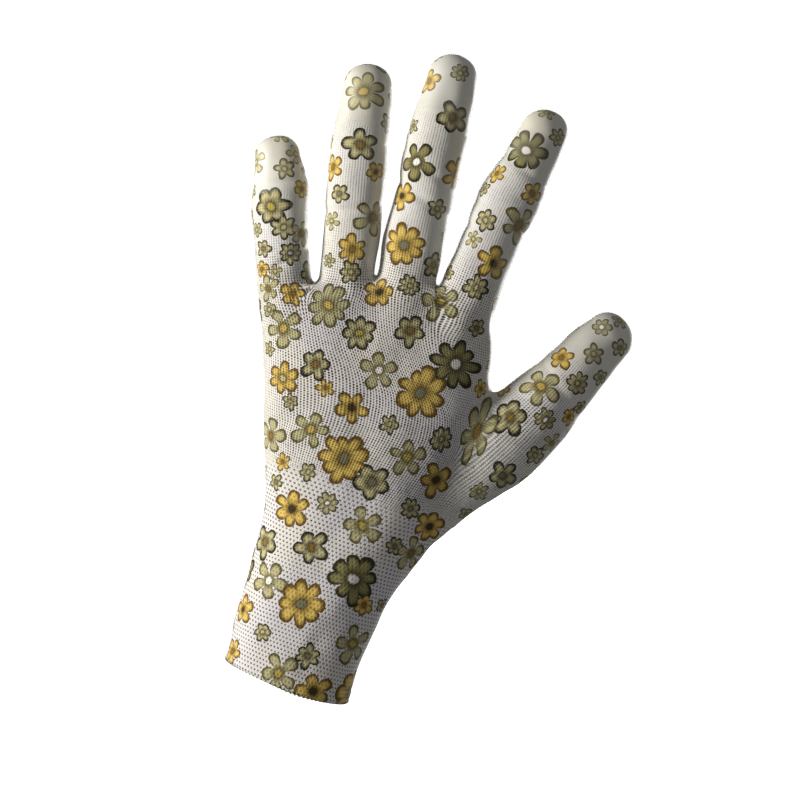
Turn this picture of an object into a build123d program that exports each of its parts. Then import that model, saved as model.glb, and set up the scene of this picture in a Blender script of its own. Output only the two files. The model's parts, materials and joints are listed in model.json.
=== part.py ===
"""Left-hand seamless-knit gardening glove, filled out as it is on a hand.

A fine knitted liner (cuff, hand, five finger stalls) carries a thin dipped coating on the palm side
and all round the fingertips. The liner and the coating are divided at the wrist and at the knuckles,
where the real fabric stretches and folds, so that every stall can bend.

Row frame, millimetres: the origin is the centre of the cuff's mouth, +Z runs up the forearm and out
to the fingers, +X is the thumb side, +Y is the palm side and -Y the back of the hand.
"""
from build123d import *
import math
import os

os.makedirs("parts", exist_ok=True)

# fabric
WALL = 1.0            # knitted liner
COAT = 0.3            # dipped film on the palm side
FILM_WRAP = 0.35      # how far round the back of a stall the film runs, as a share of its half depth
GAP = 0.3             # slack between neighbouring bodies
FOLD_SLACK = 0.45     # spare fabric on each side of a pivot
YARN = 0.5            # covered elastic yarn laid into the cuff
OVERRUN = 2.0         # how far a hollow runs past an open end, so that it cuts cleanly

# how far each joint bends towards the palm, degrees
ROOT_BEND = 55.0
MIDDLE_BEND = 75.0
END_BEND = 45.0
THUMB_ROOT_BEND = 40.0
THUMB_BEND = 55.0

# the stalls: place and lean of each root, then lengths along the stall from its root to the
# middle knuckle, the end knuckle and the tip, and half widths at root, two knuckles and tip
STALLS = {
    "little": dict(root=(-51.0, 138.0), lean=-24.5, reach=(22.0, 38.5, 54.0), half=(10.3, 10.2, 9.6, 8.1)),
    "ring": dict(root=(-30.9, 147.0), lean=-13.9, reach=(26.0, 51.5, 76.0), half=(10.5, 10.4, 9.9, 8.4)),
    "middle": dict(root=(-9.3, 154.0), lean=-8.2, reach=(28.5, 55.5, 83.0), half=(10.7, 10.8, 10.4, 9.0)),
    "index": dict(root=(13.6, 155.5), lean=5.5, reach=(27.0, 51.5, 75.0), half=(10.7, 10.9, 10.2, 9.0)),
}
DEPTH_SHARE = 0.90    # depth of a stall as a share of its width
PITCH = (3.0, 7.0, 11.0)  # the relaxed curl of the three parts of a stall, degrees
DOME = (0.0, 0.35, 0.62, 0.82, 0.95)  # stations round a rounded tip
DOME_LENGTH = 1.05    # length of a rounded tip as a share of its half width
STUB = 26.0           # how far a finger's stub reaches down inside the hand

THUMB_ROOT = (49.0, 4.0, 118.4)
THUMB_LEAN = 25.0
THUMB_PITCH = (6.0, 12.0)
THUMB_REACH = (22.0, 53.0)
THUMB_HALF = (14.0, 11.4, 8.8)
THUMB_DEPTH_SHARE = 0.86

# the hand: left and right edge of each section (x, z), half depth, and how far it sits to the palm
HAND_SECTIONS = [
    ((-35.5, 75.0), (36.0, 75.0), 16.5, 1.0),
    ((-44.0, 96.0), (35.5, 100.0), 15.5, 1.0),
    ((-52.0, 116.0), (32.5, 125.0), 14.0, 0.5),
    ((-58.5, 131.0), (28.0, 147.5), 11.5, 0.0),
]
# the ball of the thumb: steps back from the thumb's root, with half width and half depth there
THENAR = [(-44.0, 8.5, 11.0), (-22.0, 14.0, 13.0), (0.0, THUMB_HALF[0], THUMB_HALF[0] * THUMB_DEPTH_SHARE)]
SQUARENESS = 2.7      # exponent of the hand's rounded section, 2 being an ellipse
SECTION_POINTS = 16

# the cuff: height, centre in x, half width, half depth
CUFF_SECTIONS = [
    (0.0, -0.4, 24.0, 17.6),
    (15.0, -1.8, 24.8, 17.4),
    (30.0, -1.9, 25.0, 17.2),
    (45.0, -1.2, 27.0, 17.2),
    (60.0, -0.2, 30.6, 17.0),
    (75.0, 0.25, 35.75, 16.5),
]
HEM = 5.0             # height of the turned welt at the mouth
HEM_WALL = 2.0        # two layers
WRIST_FOLD = (30.0, 60.0)
HAND_START = 75.0
ELASTIC_ROWS = 8
ELASTIC_FIRST = 8.0
ELASTIC_STEP = 2.6
OVERLOCK = 0.45       # thread radius of the overlocked edge
OVERLOCK_LOOPS = 44
OVERLOCK_STAND = 0.8  # share of the thread's radius by which its middle stands off the hem
OVERLOCK_REACH = 2.2


def half_fold(half_depth, bend):
    """Length of fabric on each side of a pivot that folds when the stall bends this far."""
    return (half_depth + COAT) * math.tan(math.radians(bend / 2)) + FOLD_SLACK


def blend_between(stations, values, s):
    """Straight-line value at s."""
    for (s0, v0), (s1, v1) in zip(zip(stations, values), zip(stations[1:], values[1:])):
        if s <= s1:
            return v0 + (v1 - v0) * (s - s0) / (s1 - s0)
    return values[-1]


class Stall:
    """The centre line and the elliptical sections of one finger stall."""

    def __init__(self, root, lean, knuckles, half, depth_share, pitches):
        lean = math.radians(lean)
        self.side = Vector(math.cos(lean), 0, -math.sin(lean))
        self.out = Vector(math.sin(lean), 0, math.cos(lean))
        self.knuckles = knuckles
        self.stations = (0.0,) + tuple(knuckles[1:])
        self.half = half
        self.depth_share = depth_share
        self.pitches = [math.radians(p) for p in pitches]
        self.points = [Vector(*root)]
        for k, (a, b) in enumerate(zip(self.stations, self.stations[1:])):
            self.points.append(self.points[-1] + self.heading(k) * (b - a))
        self.pivots = [self.at(s) for s in knuckles[:-1]]

    def heading(self, part):
        pitch = self.pitches[part]
        return self.out * math.cos(pitch) + Vector(0, math.sin(pitch), 0)

    def part_of(self, s):
        inner = [k for k in self.stations[1:-1] if s > k]
        return len(inner)

    def at(self, s, part=None):
        part = self.part_of(s) if part is None else part
        return self.points[part] + self.heading(part) * (s - self.stations[part])

    def plane(self, s, part=None):
        part = self.part_of(s) if part is None else part
        return Plane(origin=self.at(s, part), x_dir=self.side, z_dir=self.heading(part))

    def size(self, s, grow=0.0):
        half = blend_between(self.stations, self.half, max(s, 0.0))
        return half + grow, half * self.depth_share + grow


def make_stall(name):
    spec = STALLS[name]
    x, z = spec["root"]
    root_fold = half_fold(spec["half"][0] * DEPTH_SHARE, ROOT_BEND)
    knuckles = (root_fold,) + spec["reach"]
    return Stall((x, 0.0, z), spec["lean"], knuckles, spec["half"], DEPTH_SHARE, PITCH)


def make_thumb():
    root_fold = half_fold(THUMB_HALF[0] * THUMB_DEPTH_SHARE, THUMB_ROOT_BEND)
    knuckles = (root_fold,) + THUMB_REACH
    return Stall(THUMB_ROOT, THUMB_LEAN, knuckles, THUMB_HALF, THUMB_DEPTH_SHARE, THUMB_PITCH)


def save(piece, name):
    piece.part.label = name
    export_step(piece.part, f"parts/{name}.step")


def shell(outer, inner, cut=None):
    """What is left of one loft of ellipses after another is taken out of it; each section is
    (plane, half width, half depth). cut keeps only the side that the plane faces."""
    with BuildPart() as piece:
        for plane, half_width, half_depth in outer:
            with BuildSketch(plane):
                Ellipse(half_width, half_depth)
        loft(ruled=True)
        for plane, half_width, half_depth in inner:
            with BuildSketch(plane):
                Ellipse(half_width, half_depth)
        loft(ruled=True, mode=Mode.SUBTRACT)
        if cut is not None:
            split(bisect_by=cut, keep=Keep.TOP)
    return piece


def sections(stall, spans, grow):
    return [(stall.plane(s, part), *stall.size(s, grow)) for s, part in spans]


def tube(stall, spans):
    """An open tube of liner through these stations of a stall."""
    return shell(sections(stall, spans, 0.0), sections(stall, spans, -WALL))


def coating(stall, spans):
    """The film on a tube's palm side, wrapped a little way round its back."""
    start, part = spans[0]
    base = stall.plane(start, part)
    back = base.origin - base.y_dir * stall.size(start)[1] * FILM_WRAP
    cut = Plane(origin=back, x_dir=base.x_dir, z_dir=base.y_dir)
    return shell(sections(stall, spans, COAT), sections(stall, spans, 0.0), cut)


def dome_sections(stall, start, grow):
    """A closed stall end: a straight stretch, then sections that close round the tip."""
    tip = stall.stations[-1]
    part = len(stall.pitches) - 1
    radius = stall.half[-1] * DOME_LENGTH
    half_width, half_depth = stall.size(tip - radius, grow)
    found = [(stall.plane(start, part), *stall.size(start, grow))]
    for t in DOME:
        shrink = math.sqrt(1 - t * t)
        station = tip - radius + (radius + grow) * t
        found.append((stall.plane(station, part), half_width * shrink, half_depth * shrink))
    return found


def closed_tip(stall, start):
    return shell(dome_sections(stall, start, 0.0), dome_sections(stall, start, -WALL))


def tip_coating(stall, start):
    return shell(dome_sections(stall, start, COAT), dome_sections(stall, start, 0.0))


def fold_lengths(stall, bends):
    """Half the length of each fold, where a knuckle's relaxed curl adds to how far it bends."""
    curls = [math.degrees(b - a) for a, b in zip(stall.pitches, stall.pitches[1:])]
    curls = [0.0] * (len(bends) - len(curls)) + curls
    return [half_fold(stall.size(s)[1], b + c) for s, b, c in zip(stall.knuckles, bends, curls)]


def build_stall(name, stall, bends):
    """One stall: a folding stretch at each pivot, and a rigid length of liner and coating after it."""
    parts = ["proximal", "middle", "tip"] if len(bends) == 3 else ["proximal", "tip"]
    folds = ["root", "middle_knuckle", "end_knuckle"] if len(bends) == 3 else ["root", "knuckle"]
    lengths = fold_lengths(stall, bends)
    for k, (fold, part_name) in enumerate(zip(folds, parts)):
        pivot, length = stall.knuckles[k], lengths[k]
        low = 0 if k == 0 else stall.part_of(pivot)
        high = low if k == 0 else low + 1
        first = 0.0 if k == 0 else pivot - length
        save(tube(stall, [(first, low), (pivot + length - GAP, high)]), f"{name}_{fold}")
        start = pivot + length
        if part_name == "tip":
            save(closed_tip(stall, start), f"{name}_tip")
            save(tip_coating(stall, start), f"{name}_tip_coating")
        else:
            end = stall.knuckles[k + 1] - lengths[k + 1]
            save(tube(stall, [(start, high), (end, high)]), f"{name}_{part_name}")
            save(coating(stall, [(start, high), (end, high)]), f"{name}_{part_name}_coating")


def rounded_outline(half_width, half_depth):
    """Points of a rounded section, fuller at its edges than an ellipse."""
    power = 2.0 / SQUARENESS
    points = []
    for k in range(SECTION_POINTS):
        angle = 2 * math.pi * (k + 0.5) / SECTION_POINTS
        c, s = math.cos(angle), math.sin(angle)
        points.append((
            half_width * math.copysign(abs(c) ** power, c),
            half_depth * math.copysign(abs(s) ** power, s),
        ))
    return points


def hand_form(stalls, thumb, grow, overrun):
    """The hand's closed form: palm, stubs of the four stalls and the ball of the thumb.

    overrun lengthens every open end, so that a smaller form cut from a larger one leaves it open."""
    with BuildPart() as form:
        for k, (left, right, half_depth, palm_shift) in enumerate(HAND_SECTIONS):
            left_edge = Vector(left[0], palm_shift, left[1])
            right_edge = Vector(right[0], palm_shift, right[1])
            across = (right_edge - left_edge).normalized()
            up = Vector(-across.Z, 0, across.X)
            shift = -overrun if k == 0 else (grow if k == len(HAND_SECTIONS) - 1 else 0.0)
            middle = (left_edge + right_edge) * 0.5 + up * shift
            half_width = (right_edge - left_edge).length / 2
            with BuildSketch(Plane(origin=middle, x_dir=across, z_dir=up)):
                with BuildLine():
                    Spline(*rounded_outline(half_width + grow, half_depth + grow), periodic=True)
                make_face()
        loft()
        for stall in stalls:
            for s in (-STUB, overrun):
                with BuildSketch(stall.plane(s, 0)):
                    Ellipse(*stall.size(0.0, grow))
            loft(ruled=True)
        for s, half_width, half_depth in THENAR:
            past = overrun if s == 0.0 else 0.0
            with BuildSketch(thumb.plane(s + past, 0)):
                Ellipse(half_width + grow, half_depth + grow)
        loft(ruled=True)
    return form.part


def cuff_size(height):
    heights = [c[0] for c in CUFF_SECTIONS]
    return [blend_between(heights, [c[k] for c in CUFF_SECTIONS], height) for k in (1, 2, 3)]


def cuff_sections(low, high, grow):
    heights = [low] + [c[0] for c in CUFF_SECTIONS if low < c[0] < high] + [high]
    found = []
    for height in heights:
        middle, half_width, half_depth = cuff_size(height)
        found.append((Plane(origin=(middle, 0, height)), half_width + grow, half_depth + grow))
    return found


def cuff_tube(low, high, wall):
    return shell(cuff_sections(low, high, 0.0), cuff_sections(low, high, -wall))


def build_cuff():
    save(cuff_tube(0.0, HEM, HEM_WALL), "cuff_hem")
    save(cuff_tube(HEM, WRIST_FOLD[0], WALL), "cuff_rib")
    save(cuff_tube(WRIST_FOLD[0], WRIST_FOLD[1] - GAP, WALL), "wrist_fold")


def build_cuff_top():
    """From the wrist fold to the hand, where the oval cuff meets the hand's fuller section."""
    left, right, half_depth, palm_shift = HAND_SECTIONS[0]
    centre = (left[0] + right[0]) / 2
    with BuildPart() as piece:
        for grow, mode in ((0.0, Mode.ADD), (-WALL, Mode.SUBTRACT)):
            middle, half_width, depth = cuff_size(WRIST_FOLD[1])
            with BuildSketch(Plane(origin=(middle, 0, WRIST_FOLD[1]))):
                with BuildLine():
                    outline = [
                        (math.cos(2 * math.pi * (k + 0.5) / SECTION_POINTS) * (half_width + grow),
                         math.sin(2 * math.pi * (k + 0.5) / SECTION_POINTS) * (depth + grow))
                        for k in range(SECTION_POINTS)
                    ]
                    Spline(*outline, periodic=True)
                make_face()
            hand_half_width = (right[0] - left[0]) / 2 + grow
            with BuildSketch(Plane(origin=(centre, palm_shift, HAND_START))):
                with BuildLine():
                    Spline(*rounded_outline(hand_half_width, half_depth + grow), periodic=True)
                make_face()
            loft(ruled=True, mode=mode)
    save(piece, "cuff_top")


def build_elastic():
    """Rows of covered elastic laid into the cuff's inner face, as separate closed rings."""
    with BuildPart() as piece:
        for row in range(ELASTIC_ROWS):
            height = ELASTIC_FIRST + row * ELASTIC_STEP
            middle, half_width, half_depth = cuff_size(height)
            outer_inset = (WALL - YARN) / 2
            inner_inset = (WALL + YARN) / 2
            with BuildSketch(Plane(origin=(middle, 0, height - YARN / 2))):
                Ellipse(half_width - outer_inset, half_depth - outer_inset)
                Ellipse(half_width - inner_inset, half_depth - inner_inset, mode=Mode.SUBTRACT)
            extrude(amount=YARN)
    save(piece, "cuff_elastic")


def build_overlock():
    """The overlocked edge: short loops of thread standing side by side over the hem's rim."""
    middle, half_width, half_depth = cuff_size(0.0)
    with BuildPart() as piece:
        for k in range(OVERLOCK_LOOPS):
            angle = 2 * math.pi * k / OVERLOCK_LOOPS
            x = (half_width + OVERLOCK * OVERLOCK_STAND) * math.cos(angle)
            y = (half_depth + OVERLOCK * OVERLOCK_STAND) * math.sin(angle)
            with BuildSketch(Plane(origin=(middle + x, y, GAP))):
                Circle(OVERLOCK)
            extrude(amount=OVERLOCK_REACH)
    save(piece, "cuff_overlock")


stalls = {name: make_stall(name) for name in STALLS}
thumb = make_thumb()

build_cuff()
build_cuff_top()
build_elastic()
build_overlock()

hand_outer = hand_form(stalls.values(), thumb, 0.0, 0.0)
hand_inner = hand_form(stalls.values(), thumb, -WALL, OVERRUN)
with BuildPart() as hand_liner:
    add(hand_outer)
    add(hand_inner, mode=Mode.SUBTRACT)
save(hand_liner, "hand_liner")

hand_coated = hand_form(stalls.values(), thumb, COAT, 0.0)
with BuildPart() as palm_coating:
    add(hand_coated)
    add(hand_outer, mode=Mode.SUBTRACT)
    split(bisect_by=Plane(origin=(0, 0, 0), x_dir=(1, 0, 0), z_dir=(0, 1, 0)), keep=Keep.TOP)
save(palm_coating, "palm_coating")

for name, stall in stalls.items():
    build_stall(name, stall, (ROOT_BEND, MIDDLE_BEND, END_BEND))
    print(name, "pivots", [tuple(round(c, 2) for c in p) for p in stall.pivots], "side", tuple(stall.side))
build_stall("thumb", thumb, (THUMB_ROOT_BEND, THUMB_BEND))
print("thumb pivots", [tuple(round(c, 2) for c in p) for p in thumb.pivots], "side", tuple(thumb.side))
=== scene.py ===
"""The looks of a left-hand knitted gardening glove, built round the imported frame.

The glove is one implicit surface (cuff, hand, five stalls) turned into a mesh, given thickness, and
cut into pieces where the joints need them. The palm side and the fingertips carry a thin film as
pieces of their own. Lengths are millimetres until a mesh is made, and metres in the scene.
"""
import json
import math
from functools import partialmethod

import bmesh
import bpy
import numpy as np
from mathutils import Matrix, Vector


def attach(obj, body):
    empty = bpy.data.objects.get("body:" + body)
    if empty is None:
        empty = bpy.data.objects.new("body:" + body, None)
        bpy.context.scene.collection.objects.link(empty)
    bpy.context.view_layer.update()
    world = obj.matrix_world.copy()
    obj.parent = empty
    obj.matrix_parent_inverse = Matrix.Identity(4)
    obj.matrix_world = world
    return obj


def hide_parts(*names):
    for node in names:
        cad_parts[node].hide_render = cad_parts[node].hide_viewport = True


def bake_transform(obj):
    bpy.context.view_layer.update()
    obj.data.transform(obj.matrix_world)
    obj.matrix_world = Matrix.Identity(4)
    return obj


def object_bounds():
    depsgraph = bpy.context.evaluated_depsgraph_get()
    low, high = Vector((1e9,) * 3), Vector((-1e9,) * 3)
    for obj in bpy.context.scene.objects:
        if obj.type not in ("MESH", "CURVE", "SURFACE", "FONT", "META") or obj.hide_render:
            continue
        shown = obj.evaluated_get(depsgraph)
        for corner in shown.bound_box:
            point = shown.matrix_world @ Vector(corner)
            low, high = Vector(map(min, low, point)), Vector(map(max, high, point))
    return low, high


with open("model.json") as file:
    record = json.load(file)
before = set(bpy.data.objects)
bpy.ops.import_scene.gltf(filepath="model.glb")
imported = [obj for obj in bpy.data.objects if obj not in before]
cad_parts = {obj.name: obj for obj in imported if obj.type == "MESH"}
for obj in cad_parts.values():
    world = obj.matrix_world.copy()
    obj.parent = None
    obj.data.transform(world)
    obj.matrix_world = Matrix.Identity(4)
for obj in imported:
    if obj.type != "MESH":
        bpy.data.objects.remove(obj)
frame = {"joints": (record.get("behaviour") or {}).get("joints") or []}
cad_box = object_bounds()

MM = 0.001
TURN = 2 * math.pi
STEP = 1.15           # mesh fineness
KNIT_WALL = 0.9
FILM_WALL = 0.28
FILM_SINK = 0.15      # how far the film's underside lies inside the knit
HEM_TOP = 4.8
RIB_TOP = 29.0
LIP = 1.7             # how far the hem turns in under its rim
MOUTH_SAG = 1.5       # how much lower the mouth's edge hangs in the middle of the back
MOUTH_ZONE = 2.0      # the closed end below this height is cut away
FINGERS = ("little", "ring", "middle", "index")
STALL_NAMES = FINGERS + ("thumb",)

# stalls: (distance from the root pivot, shift of the middle line to the thumb side, half width)
PROFILES = {
    "little": [
        (-25, 3.0, 7.5), (-6, 0.2, 9.7), (6, -0.2, 9.7), (18.6, 0.1, 9.7), (29.6, 1.3, 9.9),
        (40.6, 1.0, 7.9),
    ],
    "ring": [
        (-25, 0, 10.2), (-6, 0.5, 9.8), (8, 0.7, 9.8), (24.6, 0.6, 10.2), (44.6, 0.3, 10.2),
        (56.6, 0.8, 9.2), (64.6, 1.1, 8.4),
    ],
    "middle": [
        (-25, 0, 10.4), (-6, 0, 10.6), (16.5, -0.3, 10.6), (27.5, 0.2, 10.3), (44.5, 0, 10.8),
        (60.5, 0.8, 9.6), (70.5, 1.4, 8.7),
    ],
    "index": [
        (-25, 0, 10.6), (-6, 0, 10.9), (18.5, -1.2, 10.0), (33.5, -1.5, 10.8), (48.5, -0.7, 9.5),
        (60.5, -0.4, 8.2),
    ],
    "thumb": [
        (-52, -0.5, 7.2), (-38, -0.6, 10.2), (-22, -0.5, 14.3), (-9, -0.3, 14.5), (3.5, -0.2, 13.8),
        (13, -0.1, 12.3), (25, -0.7, 10.9), (31, -1.0, 10.5), (40, -0.7, 8.8),
    ],
}
STALL_TIPS = {"little": 48.0, "ring": 72.7, "middle": 78.2, "index": 69.0, "thumb": 47.8}
FINGER_START = -14.0
THUMB_START = -48.0
TIP_RISE = 0.19       # how steeply the last length of a stall leans to the palm
STALL_POWER = 2.15    # how square a stall's section is: 2 is an ellipse
ROOT_CURL = {name: -0.052 for name in FINGERS} | {"thumb": -0.06}   # a stall's slope below its root
STALL_DEPTH = 0.90
TIP_DEPTH = 0.84
THUMB_DEPTH = 0.84
ROOT_CUT = 3.2        # where a stall's own piece starts, past the root pivot less this
JOINT_SLACK = 0.3

# the hand and cuff: (height, left edge, right edge, half depth, shift to the palm, squareness)
HAND = [
    (-6, -24.2, 23.2, 17.2, 0.0, 2.1),
    (0, -24.4, 23.2, 17.2, 0.0, 2.1),
    (15, -26.3, 22.9, 17.0, 0.0, 2.1),
    (30, -27.2, 23.6, 16.8, 0.0, 2.1),
    (45, -28.6, 25.6, 16.5, 0.0, 2.15),
    (60, -30.6, 30.2, 16.2, 0.2, 2.3),
    (75, -35.6, 34.5, 15.8, 0.8, 2.5),
    (90, -41.4, 35.0, 15.3, 1.0, 2.6),
    (105, -46.8, 34.5, 14.6, 1.0, 2.7),
    (120, -53.0, 32.8, 13.6, 0.5, 2.7),
    (135, -60.2, 30.0, 12.2, 0.0, 2.6),
    (150, -66.0, 27.0, 11.0, 0.0, 2.5),
    (165, -70.0, 25.0, 10.5, 0.0, 2.5),
]
# height of the webs between the stalls, across the hand
ARCH = [
    (-75, 118), (-58, 131), (-40.3, 141.6), (-20, 150.2), (2.2, 155.6), (20, 155.0), (30, 146.0),
    (38, 130.0),
]
WEB_ROUND = 3.4       # rounding where a stall leaves the hand
THUMB_ROUND = 10.0
THUMB_FALL = 3.4      # how far the back of the hand drops towards the thumb
ARCH_ROUND = 9.0


def smooth_curve(table):
    """A function that runs smoothly through the (x, y) points of a short table."""
    xs, ys = np.array(table, float).T
    slopes = np.gradient(ys, xs)

    def value(x):
        x = np.clip(x, xs[0], xs[-1])
        k = np.clip(np.searchsorted(xs, x) - 1, 0, len(xs) - 2)
        h = xs[k + 1] - xs[k]
        u = (x - xs[k]) / h
        low = (1 + 2 * u) * (1 - u) ** 2 * ys[k] + u * (1 - u) ** 2 * h * slopes[k]
        return low + u * u * (3 - 2 * u) * ys[k + 1] + u * u * (u - 1) * h * slopes[k + 1]

    return value


def columns(table, *wanted):
    return [smooth_curve([(row[0], row[k]) for row in table]) for k in wanted]


def smoothstep(low, high, x):
    t = np.clip((x - low) / (high - low), 0, 1)
    return t * t * (3 - 2 * t)


def soft_min(a, b, k):
    h = np.clip(0.5 + 0.5 * (b - a) / k, 0, 1)
    return b + (a - b) * h - k * h * (1 - h)


def soft_max(a, b, k):
    return -soft_min(-a, -b, k)


def oval_distance(x, y, u, half, deep, power):
    """Rough distance to a rounded oval section; u is how far past its middle an end point lies."""
    reach = np.sqrt(x * x + y * y + u * u)
    q = (np.abs(x / half) ** power + np.abs(y / deep) ** power + np.abs(u / half) ** power) ** (1 / power)
    return reach - reach / np.maximum(q, 1e-3)


joints = {j["name"]: j for j in frame["joints"]}
PARTS = {name: ("proximal", "middle", "tip") for name in FINGERS} | {"thumb": ("proximal", "tip")}
FOLDS = {name: ("root", "middle_knuckle", "end_knuckle") for name in FINGERS} | {"thumb": ("root", "knuckle")}


class Stall:
    """One finger stall in its own coordinates: along it, across it and towards the palm."""

    def __init__(self, name):
        self.name = name
        ends = ["root", "knuckle"] if name == "thumb" else ["root", "middle", "end"]
        self.joints = [joints[f"{name}_{end}_bend"] for end in ends]
        axis = np.array(self.joints[-1]["axis"])
        self.side = -axis
        self.out = np.array([axis[2], 0, -axis[0]])
        pivots = [np.array(j["pos_m"]) / MM for j in self.joints]
        self.base = pivots[0]
        self.stations = [float((p - self.base) @ self.out) for p in pivots]
        self.tip = STALL_TIPS[name]
        self.start = THUMB_START if name == "thumb" else FINGER_START
        self.centre, self.half = columns(PROFILES[name], 1, 2)
        self.dome = PROFILES[name][-1][0]
        heights = [p[1] for p in pivots]
        curl = [(-50.0, heights[0] + ROOT_CURL[name] * 50.0)] + list(zip(self.stations, heights))
        for t in (self.tip * 0.9, self.tip + 8.0):
            curl.append((t, heights[-1] + TIP_RISE * (t - self.stations[-1])))
        self.curl = smooth_curve(curl)
        self.folds = [self.fold(k) for k in range(len(self.joints))]
        cuts = [ROOT_CUT - self.folds[0]]
        for k in range(len(self.joints) - 1):
            cuts.append((self.stations[k] + self.folds[k] + self.stations[k + 1] - self.folds[k + 1]) / 2)
        self.cuts = cuts

    def fold(self, k):
        """Half the length of fabric that folds at a joint."""
        half_bend = math.radians(self.joints[k]["range_deg"][1]) / 2
        deep = self.half(self.stations[k]) * (THUMB_DEPTH if self.name == "thumb" else STALL_DEPTH)
        return (deep + JOINT_SLACK) * math.tan(half_bend) + JOINT_SLACK

    def local(self, p):
        rel = p - self.base
        t = rel @ self.out
        return t, rel @ self.side - self.centre(t), p[:, 1] - self.curl(t)

    def depth_share(self, t):
        if self.name == "thumb":
            return THUMB_DEPTH
        return STALL_DEPTH + (TIP_DEPTH - STALL_DEPTH) * smoothstep(self.dome - 25, self.dome, t)

    def distance(self, p):
        t, x, y = self.local(p)
        half = self.half(t)
        past = np.maximum(t - self.dome, 0) * self.half(self.dome) / (self.tip - self.dome)
        before = np.maximum(self.start - t, 0)
        return oval_distance(x, y, past + before, half, half * self.depth_share(t), STALL_POWER)

    def angle(self, p):
        t, x, y = self.local(p)
        half = self.half(t)
        return np.arctan2(y / (half * self.depth_share(t)), x / half)

    def world(self, t):
        return self.base + self.out * t + np.array([0, self.curl(t) - self.base[1], 0])


stalls = {name: Stall(name) for name in STALL_NAMES}
hand_left, hand_right, hand_depth, hand_shift, hand_power = columns(HAND, 1, 2, 3, 4, 5)
arch = smooth_curve(ARCH)


def hand_local(p):
    z = p[:, 2]
    left, right = hand_left(z), hand_right(z)
    return p[:, 0] - (left + right) / 2, p[:, 1] - hand_shift(z), (right - left) / 2, hand_depth(z)


def tube_distance(p):
    x, y, half, deep = hand_local(p)
    return oval_distance(x, y, 0 * x, half, deep, hand_power(p[:, 2]))


def wave_set(seed, count, low, high):
    """Waves in random directions, with lengths from low to high millimetres."""
    rng = np.random.default_rng(seed)
    directions = rng.normal(size=(count, 3))
    directions /= np.linalg.norm(directions, axis=1)[:, None]
    lengths = rng.uniform(low, high, count)
    return directions * (TURN / lengths)[:, None], rng.uniform(0, TURN, count)


LONG_WAVES = wave_set(3, 9, 16.0, 34.0)
SHORT_WAVES = wave_set(8, 12, 6.0, 12.0)


def waves(p, wave):
    directions, phases = wave
    return np.sin(p @ directions.T + phases).sum(1) / math.sqrt(len(phases))


def bump(p, x, y, z, width, height):
    """A soft swelling of the surface round a point."""
    sizes = np.array([width, width * 1.2, height])
    return np.exp(-(((p - (x, y, z)) / sizes) ** 2).sum(1))


# folds across the back of the hand: x, z, which way they run, half length, half width, depth
HAND_FOLDS = [
    (-33.0, 91.0, 45.0, 12.0, 3.6, 0.90), (-24.0, 84.0, 30.0, 9.0, 3.0, 0.50),
    (-30.0, 142.0, -60.0, 11.0, 3.0, 0.40), (30.0, 92.0, 55.0, 15.0, 4.0, 0.55),
    (-6.0, 60.0, 8.0, 16.0, 3.2, 0.35), (6.0, 20.0, 75.0, 14.0, 3.5, 0.35),
]


def hand_folds(p):
    total = 0
    for x, z, way, reach, wide, depth in HAND_FOLDS:
        way = math.radians(way)
        dx, dz = p[:, 0] - x, p[:, 2] - z
        along = dx * math.cos(way) + dz * math.sin(way)
        across = dz * math.cos(way) - dx * math.sin(way)
        total = total + depth * np.exp(-((along / reach) ** 2) - (across / wide) ** 2)
    return total * smoothstep(-2, -6, p[:, 1])


def thumb_fall(p):
    """How far the back of the hand has dropped at a point on its way to the thumb."""
    fall = THUMB_FALL * smoothstep(-4, 36, p[:, 0]) * smoothstep(46, 68, p[:, 2])
    return fall * smoothstep(122, 100, p[:, 2]) * smoothstep(-1, -7, p[:, 1])


def mouth_edge(p):
    """Height of the cuff's edge, which hangs a little lower in the middle of the back."""
    return -MOUTH_SAG * np.exp(-((p[:, 0] - 4) / 15) ** 2) * smoothstep(2, -12, p[:, 1])


def crease(p, stall, along, reach, tilt):
    """A shallow fold across a stall at a place along it."""
    t, x, _ = stall.local(p)
    return np.exp(-((t - along - tilt * x) / reach) ** 2) * smoothstep(14, 9, np.abs(x))


# creases: stall, place along it, half width, slope, depth
CREASES = [
    ("little", 2.0, 1.8, 0.5, 0.55), ("little", 16.0, 1.5, -0.2, 0.40), ("little", 31.5, 1.4, 0.1, 0.30),
    ("ring", 20.5, 1.8, 0.25, 0.45), ("ring", 45.5, 1.6, -0.15, 0.35), ("middle", 25.0, 2.2, -0.45, 0.65),
    ("middle", 36.0, 2.0, -0.60, 0.40), ("middle", 50.0, 1.5, 0.10, 0.35), ("index", 22.0, 1.8, 0.30, 0.45),
    ("index", 33.0, 1.8, 0.45, 0.35), ("index", 45.5, 1.5, -0.20, 0.35), ("thumb", -6.0, 2.2, 0.35, 0.70),
    ("thumb", -13.0, 2.0, 0.55, 0.60), ("thumb", 6.0, 2.0, 0.40, 0.45), ("thumb", 14.5, 1.8, -0.20, 0.45),
]


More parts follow.
